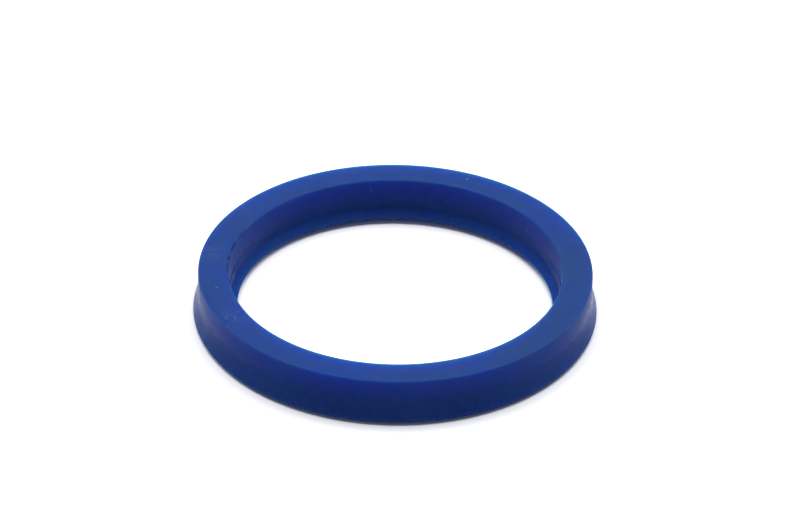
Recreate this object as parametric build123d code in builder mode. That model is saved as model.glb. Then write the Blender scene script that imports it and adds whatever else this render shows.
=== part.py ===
from build123d import *
import os
from math import acos, atan2, cos, hypot, sin

# U-cup seal: one moulded polyurethane ring with a flat heel and two flared sealing lips.
# It seals a rod in its bore against the wall of the groove that holds it, and it lies on its lips, heel up.
# The origin is on the ring's axis in the plane of the lip tips, and +Z points along the axis to the heel.
# All sizes are in millimetres and are those of the free, unloaded ring.

# What the seal fits: the rod, and the radial gap from the rod to the groove's wall
rod_diameter = 50.0
radial_section = 5.0
seal_height = 7.3

# Heel: a little narrower than the gap on both sides, with small edge radii
heel_clearance = 0.2
heel_edge_radius = 0.15

# Lips, both alike: each flares past the wall that it seals against, to a narrow sealing land
lip_interference = 0.6
lip_length = 3.35
flare_blend_radius = 4.0
land_width = 0.3

# Lip tips: a bevel under the land, then the flat that the ring lies on
bevel_height = 0.55
bevel_width = 0.4
tip_width = 0.45

# Pressure groove between the lips, with a round root
groove_depth = 3.8
groove_root_radius = 0.8

# The section is the same on both sides of its middle line, which stands on the mean radius.
mean_radius = (rod_diameter + radial_section) / 2
heel_half_width = radial_section / 2 - heel_clearance
lip_half_width = radial_section / 2 + lip_interference
tip_outer_edge = lip_half_width - bevel_width
tip_inner_edge = tip_outer_edge - tip_width

# Each side of the groove runs straight from the tip and is tangent to the root.
root_centre_height = groove_depth - groove_root_radius
tip_to_root_centre = hypot(tip_inner_edge, root_centre_height)
tangent_angle = acos(groove_root_radius / tip_to_root_centre) - atan2(root_centre_height, tip_inner_edge)
root_start = (
    groove_root_radius * cos(tangent_angle),
    root_centre_height + groove_root_radius * sin(tangent_angle),
)

section_plane = Plane(origin=(mean_radius, 0, 0), x_dir=(1, 0, 0), z_dir=(0, -1, 0))
heel_corner = (heel_half_width, seal_height)
flare_corner = (heel_half_width, lip_length)

with BuildPart() as u_cup_seal:
    with BuildSketch(section_plane) as section:
        with BuildLine() as outer_half:
            Polyline(
                (0, groove_depth),
                (0, seal_height),
                heel_corner,
                flare_corner,
                (lip_half_width, bevel_height + land_width),
                (lip_half_width, bevel_height),
                (tip_outer_edge, 0),
                (tip_inner_edge, 0),
                root_start,
            )
            RadiusArc(root_start, (0, groove_depth), groove_root_radius)
        make_face()
        fillet(section.vertices().sort_by_distance(heel_corner)[0], heel_edge_radius)
        fillet(section.vertices().sort_by_distance(flare_corner)[0], flare_blend_radius)
        mirror(about=Plane.YZ)
    revolve(axis=Axis.Z)
u_cup_seal.part.label = "u_cup_seal"

os.makedirs("parts", exist_ok=True)
export_step(u_cup_seal.part, "parts/u_cup_seal.step")
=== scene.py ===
# %% [markdown]
# # A moulded U-cup seal
# A U-cup seal is one ring of polyurethane. Cut through it, and the cut face looks like a U on its head:
# a solid heel on top, and two lips below it that flare outwards to their sealing edges. The ring lies on
# its lips here. This notebook loads the measured ring, dresses it with a smooth skin, and gives the skin
# the look of satin blue polyurethane that has been handled a little.

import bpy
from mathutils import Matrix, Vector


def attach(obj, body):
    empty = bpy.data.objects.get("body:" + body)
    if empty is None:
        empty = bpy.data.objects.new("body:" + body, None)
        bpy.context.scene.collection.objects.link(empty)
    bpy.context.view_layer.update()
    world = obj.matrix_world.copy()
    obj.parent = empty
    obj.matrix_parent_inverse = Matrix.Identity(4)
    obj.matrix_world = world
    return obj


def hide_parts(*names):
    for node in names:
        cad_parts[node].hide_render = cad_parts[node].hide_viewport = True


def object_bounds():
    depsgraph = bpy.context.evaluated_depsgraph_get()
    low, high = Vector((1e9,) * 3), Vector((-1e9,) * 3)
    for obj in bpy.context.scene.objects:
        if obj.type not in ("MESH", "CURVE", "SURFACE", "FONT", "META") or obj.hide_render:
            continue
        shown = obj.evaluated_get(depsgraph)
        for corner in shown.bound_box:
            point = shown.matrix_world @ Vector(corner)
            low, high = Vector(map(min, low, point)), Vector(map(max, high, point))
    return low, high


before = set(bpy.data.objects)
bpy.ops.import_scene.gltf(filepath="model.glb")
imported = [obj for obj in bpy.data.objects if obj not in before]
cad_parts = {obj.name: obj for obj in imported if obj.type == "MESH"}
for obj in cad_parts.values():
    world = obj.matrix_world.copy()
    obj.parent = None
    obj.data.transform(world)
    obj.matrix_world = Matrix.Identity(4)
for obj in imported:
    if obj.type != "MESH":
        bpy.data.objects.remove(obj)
cad_low, cad_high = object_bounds()
print("ring on the floor, from", tuple(cad_low), "to", tuple(cad_high))

# %% [markdown]
# ## Tools
# Everything is in metres here, and the ring's sizes are easier to read in millimetres, so one constant
# turns the one into the other. Points are kept in numpy arrays, because a formula on a whole array is
# both shorter and faster than a loop over points.

# %% Tools of the lesson
from math import acos, atan2, cos, hypot, pi, radians, sin

import bpy
import numpy as np
from mathutils import Quaternion, Vector

MM = 0.001

# %% [markdown]
# ## The section
# A mould gives the ring one section all the way round, so the section is where the work is. The heel and
# the pressure groove are even on both sides of the middle line. The two lips aren't: the one that wipes
# the rod, on the inside, is short and flares steeply, and the one that seals against the wall of its
# housing, on the outside, is long and flares gently. The end of each lip is trimmed with a bevel, so the
# sealing edges stand clear of the floor and the ring touches it only with two narrow flats.

# %% The sizes of the section, in metres
mean_radius = 27.5 * MM
seal_height = cad_high.z - cad_low.z
heel_half_width = 2.3 * MM
heel_edge_radius = 0.15 * MM
groove_depth = 3.8 * MM
groove_root_radius = 0.8 * MM
groove_half_opening = 1.85 * MM
land_width = 0.15 * MM
trim_radius = 0.05 * MM
rod_lip = {"reach": 3.60 * MM, "length": 2.35 * MM, "flare_radius": 1.3 * MM,
           "edge_height": 0.95 * MM, "bevel_width": 1.45 * MM}
wall_lip = {"reach": 3.10 * MM, "length": 3.12 * MM, "flare_radius": 5.0 * MM,
            "edge_height": 0.60 * MM, "bevel_width": 0.90 * MM}
print("mean radius %.2f mm, height %.2f mm" % (mean_radius / MM, seal_height / MM))

# %% [markdown]
# ## Corners first
# A section is drawn as a draughtsman does it: sharp corners first, then a radius for each. A side has six
# corners, from the groove's edge at the tip, over the bevel and the narrow sealing land, up the flare to
# the waist, and to the heel's edge. The sides of the groove lean towards each other and touch its round
# root, and the crown is the corner where they would meet if the root were sharp.

# %% The corners of the section, and how round each one is
root_centre = groove_depth - groove_root_radius
side_slope = (acos(groove_root_radius / hypot(groove_half_opening, root_centre))
              - atan2(root_centre, groove_half_opening))
groove_crown = root_centre + groove_root_radius / sin(side_slope)


def side_corners(lip):
    """Six corners of one side, as (distance from the middle line, height)."""
    return np.array([
        [groove_half_opening, 0.0],
        [lip["reach"] - lip["bevel_width"], 0.0],
        [lip["reach"], lip["edge_height"]],
        [lip["reach"], lip["edge_height"] + land_width],
        [heel_half_width, lip["length"]],
        [heel_half_width, seal_height],
    ])


def side_radii(lip):
    """The radius of each of those six corners."""
    return np.array([trim_radius] * 4 + [lip["flare_radius"], heel_edge_radius])


corners = np.vstack([
    [[0.0, groove_crown]],
    side_corners(wall_lip),
    side_corners(rod_lip)[::-1] * (-1.0, 1.0),
])
radii = np.concatenate([[groove_root_radius], side_radii(wall_lip), side_radii(rod_lip)[::-1]])
print(len(corners), "corners in the whole section")

# %% [markdown]
# ## Rounding the corners
# A sharp corner in a mesh looks like cut paper, because real edges always catch a thin line of light. The
# next function turns every corner into an arc that touches both of its sides, for all corners at once.

# %% From corners to arcs
def unit(vectors):
    """Each row divided by its own length."""
    return vectors / np.linalg.norm(vectors, axis=1, keepdims=True)


def rounded(points, bend, steps):
    """A closed polygon with every corner replaced by an arc of steps points.

    With u and v the directions from the corner to its neighbours and h half the angle between them, the
    arc's centre is the corner plus bend / sin(h) along u + v, and the arc begins bend / tan(h) along u.
    """
    u = unit(np.roll(points, 1, axis=0) - points)
    v = unit(np.roll(points, -1, axis=0) - points)
    half = np.arccos(np.clip((u * v).sum(axis=1), -1.0, 1.0)) / 2
    centre = points + unit(u + v) * (bend / np.sin(half))[:, None]
    first = points + u * (bend / np.tan(half))[:, None] - centre
    last = points + v * (bend / np.tan(half))[:, None] - centre
    begin = np.arctan2(first[:, 1], first[:, 0])
    turn = np.arctan2(last[:, 1], last[:, 0]) - begin
    turn = (turn + pi) % (2 * pi) - pi
    angle = begin[:, None] + turn[:, None] * np.linspace(0.0, 1.0, steps)[None, :]
    arc = np.stack([np.cos(angle), np.sin(angle)], axis=2) * bend[:, None, None]
    return (centre[:, None, :] + arc).reshape(-1, 2)


ARC_STEPS = 9
outline = rounded(corners, radii, ARC_STEPS)
print(len(outline), "points on the rounded outline")

# %% [markdown]
# ## Even spacing
# The arcs now have many points and the straight runs have none. Fine marks need points to sit on, so each
# run is divided until no step is longer than a limit. The limit is small near the heel's two top edges,
# where handling has left its marks, and larger elsewhere, which keeps the mesh light.

# %% Divide the long runs
def divided(points, limit):
    """A closed outline whose run k is cut into ceil(length / limit) equal steps."""
    following = np.roll(points, -1, axis=0)
    length = np.linalg.norm(following - points, axis=1)
    parts = np.maximum(1, np.ceil(length / limit).astype(int))
    run = np.repeat(np.arange(len(points)), parts)
    step = np.arange(parts.sum()) - np.repeat(np.cumsum(parts) - parts, parts)
    share = (step / parts[run])[:, None]
    return points[run] * (1.0 - share) + following[run] * share


COARSE_STEP = 0.4 * MM
FINE_STEP = 0.08 * MM
MARKED_WIDTH = 0.9 * MM
outline = divided(outline, COARSE_STEP)
edge_distance = np.hypot(np.abs(outline[:, 0]) - heel_half_width, outline[:, 1] - seal_height)
outline = divided(outline, np.where(edge_distance < MARKED_WIDTH, FINE_STEP, COARSE_STEP))
print(len(outline), "points round the section")

# %% [markdown]
# ## Turning the section into a ring
# The ring is a surface with two parameters: where a point lies on the outline, and how far round the axis
# it stands. Both directions close on themselves, so there is no seam and no pole.

# %% The ring as a surface
AROUND = 480


def ring_points(section, angles):
    """Section point (i, j) turned by angle j about Z: x = r cos a, y = r sin a, z = height."""
    radius = mean_radius + section[..., 0]
    return np.stack([radius * np.cos(angles), radius * np.sin(angles), section[..., 1]], axis=2)


def closed_grid_faces(rows, columns):
    """Four-sided faces of a grid that closes in both directions, wound so that they look outwards."""
    i, j = np.meshgrid(np.arange(rows), np.arange(columns), indexing="ij")
    up, along = (i + 1) % rows, (j + 1) % columns
    loops = np.stack([i * columns + j, i * columns + along, up * columns + along, up * columns + j], axis=2)
    return loops.reshape(-1, 4)


angles = np.linspace(-pi, pi, AROUND, endpoint=False)
print(len(outline) * AROUND, "points on the whole ring")

# %% [markdown]
# ## Handling marks
# The ring has been on a tool. A row of nicks runs along the top edge of the bore on the left, where the
# edge was pressed in, and two faint lines follow the outer edge beside it. Each mark is a shallow dent
# that lies along the ring: a bell curve across it, and a flat-topped bell along it. The dent is real
# geometry, and the same bells, scaled by how much painted shade each mark gets, are kept as an
# attribute, so the material can paint shade into the dents.

# %% Nicks and faint lines
# Each row: distance from the middle line (mm), angle (degrees), half length (degrees), half width (mm),
# depth (mm), and how much painted shade it gets, from 0 to 1.
MARKS = np.array([
    [-2.20, 159.0, 3.8, 0.13, 0.04, 0.80],
    [-2.20, 167.6, 3.4, 0.22, 0.08, 1.00],
    [-2.20, 174.6, 1.5, 0.27, 0.09, 1.00],
    [-2.20, 180.8, 3.2, 0.16, 0.05, 0.85],
    [-2.18, -172.0, 3.0, 0.10, 0.02, 0.30],
    [1.70, 202.0, 13.0, 0.16, 0.02, 0.20],
    [2.02, 192.0, 10.0, 0.11, 0.02, 0.16],
])


def mark_amounts(section, angles):
    """For each mark, outline point and angle: exp(-(across / half width)^2) exp(-(along / half length)^4)."""
    offset, angle, half_length, half_width = (MARKS[:, column] for column in range(4))
    centre = np.stack([offset * MM, np.full_like(offset, seal_height)], axis=1)
    across = np.linalg.norm(section[None, :, :] - centre[:, None, :], axis=2) / (half_width * MM)[:, None]
    along = (np.degrees(angles)[None, :] - angle[:, None] + 180.0) % 360.0 - 180.0
    along = along / half_length[:, None]
    return np.exp(-across ** 2)[:, :, None] * np.exp(-along ** 4)[:, None, :]


def outward(section):
    """Unit normals of the closed outline, from the chord between each point's two neighbours."""
    chord = unit(np.roll(section, -1, axis=0) - np.roll(section, 1, axis=0))
    return np.stack([chord[:, 1], -chord[:, 0]], axis=1)


amounts = mark_amounts(outline, angles)
dent = (amounts * MARKS[:, 4][:, None, None]).max(axis=0) * MM
# Painted shade for each point: how much shade is painted into the nicks and faint lines.
painted_nick_shade = (amounts * MARKS[:, 5][:, None, None]).max(axis=0)
dented = outline[:, None, :] - outward(outline)[:, None, :] * dent[:, :, None]
grid = ring_points(dented, angles)
print("deepest nick %.3f mm" % (dent.max() / MM))

# %% [markdown]
# ## The mesh
# A mesh object wants plain lists of points and faces. The painted shade of the marks goes in as an
# attribute with one number per point. The skin then stands for the measured ring: it rides on the same
# body and takes its place in the picture.

# %% Put the grid into a mesh
def mesh_object(name, points, faces):
    """A mesh object at the origin, with smooth faces, from arrays of points and of four-sided faces."""
    mesh = bpy.data.meshes.new(name)
    mesh.from_pydata(points.reshape(-1, 3).tolist(), [], faces.tolist())
    mesh.polygons.foreach_set("use_smooth", np.ones(len(mesh.polygons), dtype=bool))
    mesh.update()
    made = bpy.data.objects.new(name, mesh)
    bpy.context.scene.collection.objects.link(made)
    return made


skin = mesh_object("seal_ring_skin", grid, closed_grid_faces(len(outline), AROUND))
# The painted shade of the nicks is kept as an attribute on the points.
marked = skin.data.attributes.new("painted_nick_shade", "FLOAT", "POINT")
marked.data.foreach_set("value", painted_nick_shade.reshape(-1).astype(np.float32))
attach(skin, "root")
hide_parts("u_cup_seal")
print(len(skin.data.polygons), "faces on the ring")

# %% [markdown]
# ## Shader maths as arithmetic
# A node tree is arithmetic drawn as boxes. Written as Python expressions it is much easier to read, so
# one small class wraps a socket, and each operator on it adds one Math node.

# %% A socket that knows arithmetic
class Wire:
    """An output socket. Adding, multiplying and so on give the wire of a new Math node."""

    def __init__(self, tree, socket):
        self.tree = tree
        self.socket = socket

    def node(self, kind, settings, inputs, output=0):
        """A new node of any type: its settings first, then the values or wires of its inputs."""
        made = self.tree.nodes.new(kind)
        for name, value in settings.items():
            setattr(made, name, value)
        for name, value in inputs.items():
            if isinstance(value, Wire):
                self.tree.links.new(value.socket, made.inputs[name])
            else:
                made.inputs[name].default_value = value
        return Wire(self.tree, made.outputs[output])

    def math(self, operation, first, second):
        return self.node("ShaderNodeMath", {"operation": operation}, {0: first, 1: second})

    def __add__(self, other):
        return self.math("ADD", self, other)

    def __radd__(self, other):
        return self.math("ADD", other, self)

    def __sub__(self, other):
        return self.math("SUBTRACT", self, other)

    def __rsub__(self, other):
        return self.math("SUBTRACT", other, self)

    def __mul__(self, other):
        return self.math("MULTIPLY", self, other)

    def __rmul__(self, other):
        return self.math("MULTIPLY", other, self)

    def larger(self, other):
        return self.math("MAXIMUM", self, other)

    def ramp(self, low, high, at_low=0.0, at_high=1.0):
        """A smooth step: at_low up to low, at_high from high on."""
        return self.node("ShaderNodeMapRange", {"interpolation_type": "SMOOTHSTEP"}, {
            "Value": self, "From Min": low, "From Max": high, "To Min": at_low, "To Max": at_high})

    def distance_to(self, point):
        """How far this vector is from a fixed point."""
        return self.node("ShaderNodeVectorMath", {"operation": "DISTANCE"}, {0: self, 1: point}, "Value")

    def stretched(self, factors):
        """This vector with each coordinate multiplied by its own factor."""
        return self.node("ShaderNodeVectorMath", {"operation": "MULTIPLY"}, {0: self, 1: factors})

    def noise(self, size, detail=2.0):
        """Smooth noise from 0 to 1 at this place, with blots about size metres across."""
        return self.node("ShaderNodeTexNoise", {}, {"Vector": self, "Scale": 1.0 / size, "Detail": detail})

    def mixed(self, first, second):
        """The first colour where this wire is 0, the second where it is 1."""
        return self.node("ShaderNodeMix", {"data_type": "RGBA"}, {0: self, 6: first, 7: second}, 2)


# %% [markdown]
# ## A blank material
# Every material starts the same way: an empty tree, its output node, and the object's own coordinates,
# which stay on the surface wherever the camera goes.

# %% A blank material
def new_finish(name):
    """A material with an empty tree, a wire of the place on the object, and the tree's output."""
    finish = bpy.data.materials.new(name)
    finish.use_nodes = True
    tree = finish.node_tree
    tree.nodes.clear()
    output = tree.nodes.new("ShaderNodeOutputMaterial")
    place = tree.nodes.new("ShaderNodeTexCoord")
    return finish, Wire(tree, place.outputs["Object"]), output


polyurethane, place, surface = new_finish("satin_blue_polyurethane")

# %% [markdown]
# ## The blue, and how uneven it is
# Polyurethane is dyed right through, so its colour hardly changes. What one sees on a handled seal is a
# slow drift of tone over centimetres, a fine cloudiness at about a millimetre, and fine streaks where it
# was wiped. All three are noise, added up and used to mix two blues that are close together. On top comes
# a painted sheen: a greyer blue is painted over the heel's face to stand in for the white room's sheen on
# the top. It fades out down the walls, so its strength is a smooth step of the height. The nicks get
# painted shade, the darkest blue of all.

# %% Two blues and their clouds, a painted sheen and painted shade in the nicks
DEEP_BLUE = (0.016, 0.063, 0.385, 1.0)
PALE_BLUE = (0.025, 0.079, 0.425, 1.0)
# Painted sheen: a greyer blue that stands in for the white room's sheen on the heel's face.
SHEEN_PAINTED_BLUE = (0.0310, 0.0755, 0.235, 1.0)
# Painted shade: the darkest blue, painted into the nicks and faint lines.
NICK_SHADE_BLUE = (0.004, 0.022, 0.045, 1.0)
height = place.node("ShaderNodeSeparateXYZ", {}, {"Vector": place}, "Z")
# The painted sheen is full on the heel's face and fades out over this depth down the walls.
PAINTED_SHEEN_DEPTH = 2.8 * MM
painted_sheen = height.ramp(seal_height - PAINTED_SHEEN_DEPTH, seal_height)
drift = place.noise(16.0 * MM)
cloud = place.noise(1.1 * MM, 4.0)
grain = place.noise(0.25 * MM)
streak = place.stretched((0.12, 1.0, 1.0)).noise(0.35 * MM, 3.0)
tone = drift * 0.4 + cloud * 0.3 + streak * 0.3
blue = tone.ramp(0.30, 0.70).mixed(DEEP_BLUE, PALE_BLUE)
# Mix in the painted sheen near the top of the heel.
blue = (painted_sheen * tone.ramp(0.35, 0.65, 0.45, 1.0)).mixed(blue, SHEEN_PAINTED_BLUE)
# Paint the shade into the nicks, as much as the attribute says.
nick_shade_painted = place.node("ShaderNodeAttribute", {"attribute_name": "painted_nick_shade"}, {}, "Fac")
blue = nick_shade_painted.mixed(blue, NICK_SHADE_BLUE)
print("clouds and nick colour in", len(polyurethane.node_tree.nodes), "nodes")

# %% [markdown]
# ## Pale specks and scuffs
# A few specks of lint and light scuffs are what tells the eye that this is a real ring and not a drawing.
# Each speck is a soft ball round one point of the surface, and the noise breaks its rim so that no two
# look alike. The smear on the front left of the heel is the same idea, only wide, thin and full of gaps,
# and on the far left the heel has been brushed into fine pale lines.

# %% Specks, a smear and a brushed patch
# Each row: angle (degrees), distance from the axis, height and radius of the speck (mm), how pale.
SPECKS = [
    (67.0, 28.0, 7.30, 0.24, 0.30),
    (-168.0, 27.4, 7.30, 0.26, 0.34),
    (99.0, 25.2, 5.50, 0.24, 0.14),
    (37.0, 25.2, 4.80, 0.22, 0.18),
    (139.0, 24.6, 1.75, 0.18, 0.14),
    (154.5, 24.6, 1.75, 0.16, 0.10),
]
LINT = (0.42, 0.50, 0.68, 1.0)


def spot(angle, radius, level):
    """The point at this angle, distance from the axis and height, in metres."""
    turn = radians(angle)
    return Vector((radius * cos(turn), radius * sin(turn), level)) * MM


lint = grain * 0.0
for angle, radius, level, size, paleness in SPECKS:
    reach = place.distance_to(spot(angle, radius, level)) + (cloud - 0.5) * (0.3 * size * MM)
    lint = lint.larger(reach.ramp(0.35 * size * MM, size * MM, paleness, 0.0))
smear = place.distance_to(spot(-150.0, 27.6, 7.30)).ramp(0.8 * MM, 3.4 * MM, 1.0, 0.0)
smear = smear * place.stretched((1.0, 0.45, 1.0)).noise(0.8 * MM, 3.0).ramp(0.40, 0.75, 0.0, 0.09)
brushed = place.distance_to(spot(173.0, 28.7, 7.30)).ramp(0.6 * MM, 3.6 * MM, 1.0, 0.0)
brushed = brushed * streak.ramp(0.45, 0.70, 0.0, 0.09)
blue = lint.larger(smear).larger(brushed).mixed(blue, LINT)
print(len(SPECKS), "specks, a smear and a brushed patch")

# %% [markdown]
# ## Satin
# The moulded skin is satin: it has a soft sheen at a slant and no clear reflection. Light also goes a
# little way in and comes out blue, which is why the heel's edges glow and why the shade on the walls is
# deep blue and never grey. That is subsurface scattering, and blue light travels the furthest in it. The
# roughness follows the clouds and the lint, and it grows towards the heel, where fingers have dulled the
# skin. A very fine bump breaks the sheen.

# %% Satin blue polyurethane
MOULDED_ROUGHNESS = 0.20
WORN_ROUGHNESS = 0.20
worn = height.ramp(0.4 * seal_height, seal_height, 0.0, WORN_ROUGHNESS)
roughness = MOULDED_ROUGHNESS + cloud * 0.10 + lint * 0.4 + worn
relief = cloud * 0.7 + grain * 0.3
bumped = relief.node("ShaderNodeBump", {}, {"Height": relief, "Strength": 0.10, "Distance": 0.02 * MM})
body = place.node("ShaderNodeBsdfPrincipled", {"subsurface_method": "RANDOM_WALK"}, {
    "Base Color": blue,
    "Roughness": roughness,
    "Normal": bumped,
    "IOR": 1.1,
    "Specular IOR Level": 0.5,
    "Subsurface Weight": 1.0,
    "Subsurface Radius": (0.5, 3.5, 12.0),
    "Subsurface Scale": 1.0 * MM,
})
place.tree.links.new(body.socket, surface.inputs["Surface"])
skin.data.materials.append(polyurethane)
print("finish has", len(polyurethane.node_tree.nodes), "nodes")

# %% [markdown]
# ## The floor
# The ring lies on a white sweep that fades into a white room. A floor that bright would throw so much
# light back that the ring turned pale, so the floor is bright only for the camera and in reflections, and
# darker in the light that it hands on. It keeps the ring's soft contact shadow, which is what makes the
# lips look as if they stand clear of it.

# %% The floor
FLOOR_HALF = 2.0
FLOOR_SEEN = 1.02
FLOOR_REFLECTED = 1.1
FLOOR_HANDED_ON = 0.53
unit_square = np.array([[-1.0, -1.0, 0.0], [1.0, -1.0, 0.0], [1.0, 1.0, 0.0], [-1.0, 1.0, 0.0]])
floor = mesh_object("floor", unit_square * FLOOR_HALF, np.array([[0, 1, 2, 3]]))
floor_finish, floor_place, floor_surface = new_finish("white_floor")
seen = floor_place.node("ShaderNodeLightPath", {}, {}, "Is Camera Ray")
reflected = floor_place.node("ShaderNodeLightPath", {}, {}, "Is Glossy Ray")
lightness = seen * FLOOR_SEEN + reflected * FLOOR_REFLECTED + FLOOR_HANDED_ON
floor_shader = floor_place.node("ShaderNodeBsdfDiffuse", {}, {"Color": lightness})
floor_place.tree.links.new(floor_shader.socket, floor_surface.inputs["Surface"])
floor.data.materials.append(floor_finish)
print("floor %.1f m wide" % (2 * FLOOR_HALF))

# %% [markdown]
# ## The light
# One softbox hangs over the ring. It is much wider from left to right than from front to back, and it
# leans back a little: that keeps the shadows thin beside the ring, and draws them out towards the camera
# in front of it and inside the bore. A weak even light from the room fills the rest. The room is white
# only where the camera looks straight at it.

# %% Softbox and room
ROOM_LIGHT = 0.15
SOFTBOX_DISTANCE = 0.9
SOFTBOX_WIDTH = 2.0
SOFTBOX_DEPTH = 0.8
SOFTBOX_POWER = 11.0
softbox_lean = radians(14.0)
scene = bpy.context.scene
world = bpy.data.worlds.new("soft_room")
scene.world = world
world.use_nodes = True
world.node_tree.nodes.clear()
world_out = world.node_tree.nodes.new("ShaderNodeOutputWorld")
path = world.node_tree.nodes.new("ShaderNodeLightPath")
straight = Wire(world.node_tree, path.outputs["Is Camera Ray"])
strength = straight * (1.0 - ROOM_LIGHT) + ROOM_LIGHT
sky = straight.node("ShaderNodeBackground", {}, {"Color": (1.0, 1.0, 1.0, 1.0), "Strength": strength})
world.node_tree.links.new(sky.socket, world_out.inputs["Surface"])

softbox_data = bpy.data.lights.new("softbox", "AREA")
softbox_data.shape = "ELLIPSE"
softbox_data.size = SOFTBOX_WIDTH
softbox_data.size_y = SOFTBOX_DEPTH
softbox_data.energy = SOFTBOX_POWER
softbox = bpy.data.objects.new("softbox", softbox_data)
softbox.location = (0.0, SOFTBOX_DISTANCE * sin(softbox_lean), SOFTBOX_DISTANCE * cos(softbox_lean))
softbox.rotation_euler = (-softbox_lean, 0.0, 0.0)
scene.collection.objects.link(softbox)
print("softbox %.1f m wide, %.1f W" % (softbox_data.size, softbox_data.energy))

# %% [markdown]
# ## The camera
# A product shot of a small ring is taken from a fair distance with a long lens, which keeps its near and
# far sides almost the same size. The camera looks down at about a third of a right angle, and it was held
# a little off level, so the view is turned by less than a degree about its own axis.

# %% The camera
SENSOR = 36.0
LENS_TO_SENSOR = 5.81
aim = Vector((0.67, 11.56, 0.55)) * MM
CAMERA_DISTANCE = 0.7152
look_down = radians(33.32)
tilt = radians(0.813)
camera_data = bpy.data.cameras.new("camera")
camera_data.sensor_width = SENSOR
camera_data.lens = LENS_TO_SENSOR * SENSOR
camera = bpy.data.objects.new("camera", camera_data)
toward = Vector((0.0, cos(look_down), -sin(look_down)))
camera.location = aim - toward * CAMERA_DISTANCE
camera.rotation_mode = "QUATERNION"
camera.rotation_quaternion = toward.to_track_quat("-Z", "Y") @ Quaternion((0.0, 0.0, 1.0), tilt)
scene.collection.objects.link(camera)
scene.camera = camera
scene.view_settings.view_transform = "Standard"
print("camera %.0f mm lens at %.2f m" % (camera_data.lens, CAMERA_DISTANCE))
